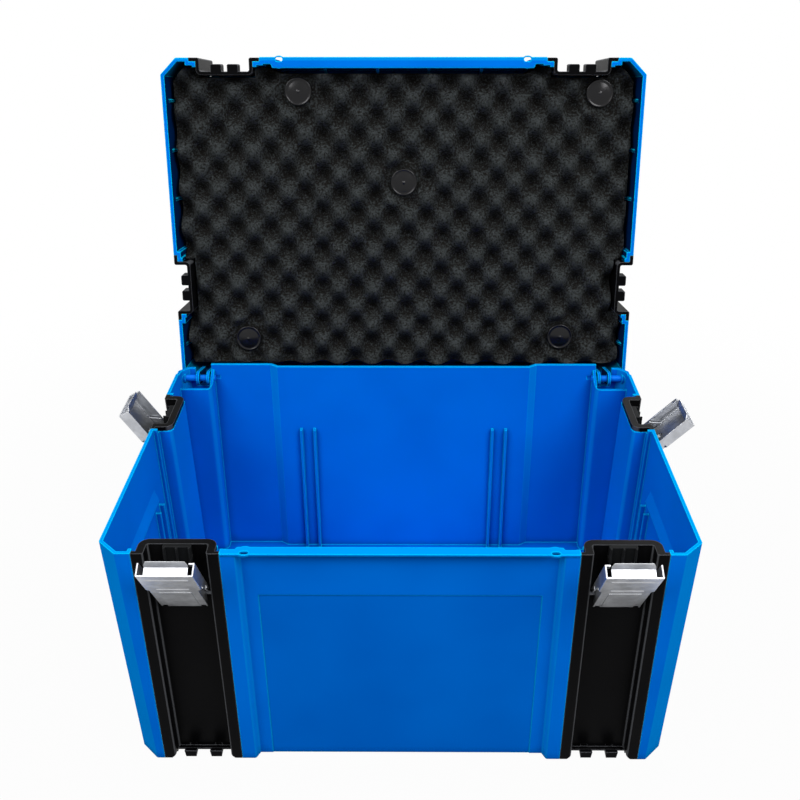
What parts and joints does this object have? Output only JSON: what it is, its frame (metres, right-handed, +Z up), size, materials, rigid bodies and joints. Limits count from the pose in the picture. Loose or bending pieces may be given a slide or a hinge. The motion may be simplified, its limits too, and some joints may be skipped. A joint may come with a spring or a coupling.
{
  "type": "tool case",
  "caption": "Deep stackable tool case with a hinged lid lined with egg-crate foam, swing latches in black rails, stacking teeth and a folding handle.",
  "frame": {"origin": "on the floor, at the middle of the case between its front and lid back planes", "axes": "+Z up, +Y from the front towards the hinge, +X to the right seen from the front"},
  "size_m": [0.4571, 0.4106, 0.444],
  "materials": {
    "blue_plastic": "satin",
    "blue_pin_plastic": "satin",
    "black_plastic": "satin",
    "handle_plastic": "satin",
    "button_plastic": "gloss",
    "foam": "matte",
    "zinc_steel": "satin"
  },
  "bodies": {
    "case": {"body_shell": "blue_plastic", "left_hinge_pin": "blue_pin_plastic", "right_hinge_pin": "blue_pin_plastic", "front_left_rail": "black_plastic", "front_left_latch_block": "black_plastic", "front_left_block_pin": "zinc_steel", "front_left_latch_pin": "zinc_steel", "front_right_rail": "black_plastic", "front_right_latch_block": "black_plastic", "front_right_block_pin": "zinc_steel", "front_right_latch_pin": "zinc_steel", "left_rail": "black_plastic", "left_latch_block": "black_plastic", "left_block_pin": "zinc_steel", "left_latch_pin": "zinc_steel", "right_rail": "black_plastic", "right_latch_block": "black_plastic", "right_block_pin": "zinc_steel", "right_latch_pin": "zinc_steel"},
    "lid": {"lid_shell": "blue_plastic", "foam_pad": "foam", "foam_buttons": "button_plastic", "handle_pins": "zinc_steel", "front_left_lid_catch": "black_plastic", "front_right_lid_catch": "black_plastic", "left_lid_catch": "black_plastic", "right_lid_catch": "black_plastic"},
    "handle": {"carry_handle": "handle_plastic"},
    "front_left_latch": {"front_left_latch_lever": "zinc_steel", "front_left_latch_hook": "zinc_steel"},
    "front_right_latch": {"front_right_latch_lever": "zinc_steel", "front_right_latch_hook": "zinc_steel"},
    "left_latch": {"left_latch_lever": "zinc_steel", "left_latch_hook": "zinc_steel"},
    "right_latch": {"right_latch_lever": "zinc_steel", "right_latch_hook": "zinc_steel"}
  },
  "joints": [
    {"name": "lid_hinge", "type": "hinge", "parent": "case", "child": "lid", "pos_m": [0, 0.1295, 0.18], "axis": [1, 0, 0], "range_deg": [0, 99.7]},
    {"name": "front_left_latch_swing", "type": "hinge", "parent": "case", "child": "front_left_latch", "pos_m": [-0.1453, -0.131, 0.153], "axis": [-1, 0, 0], "range_deg": [0, 34.5]},
    {"name": "front_right_latch_swing", "type": "hinge", "parent": "case", "child": "front_right_latch", "pos_m": [0.1453, -0.131, 0.153], "axis": [-1, 0, 0], "range_deg": [0, 35]},
    {"name": "left_latch_swing", "type": "hinge", "parent": "case", "child": "left_latch", "pos_m": [-0.19, 0.051, 0.153], "axis": [0, 1, 0], "range_deg": [0, 33]},
    {"name": "right_latch_swing", "type": "hinge", "parent": "case", "child": "right_latch", "pos_m": [0.19, 0.051, 0.153], "axis": [0, -1, 0], "range_deg": [0, 44]},
    {"name": "handle_swing", "type": "hinge", "parent": "lid", "child": "handle", "pos_m": [0, 0.21313, 0.30723], "axis": [1, 0, 0], "range_deg": [-9.7, 80.3]}
  ]
}
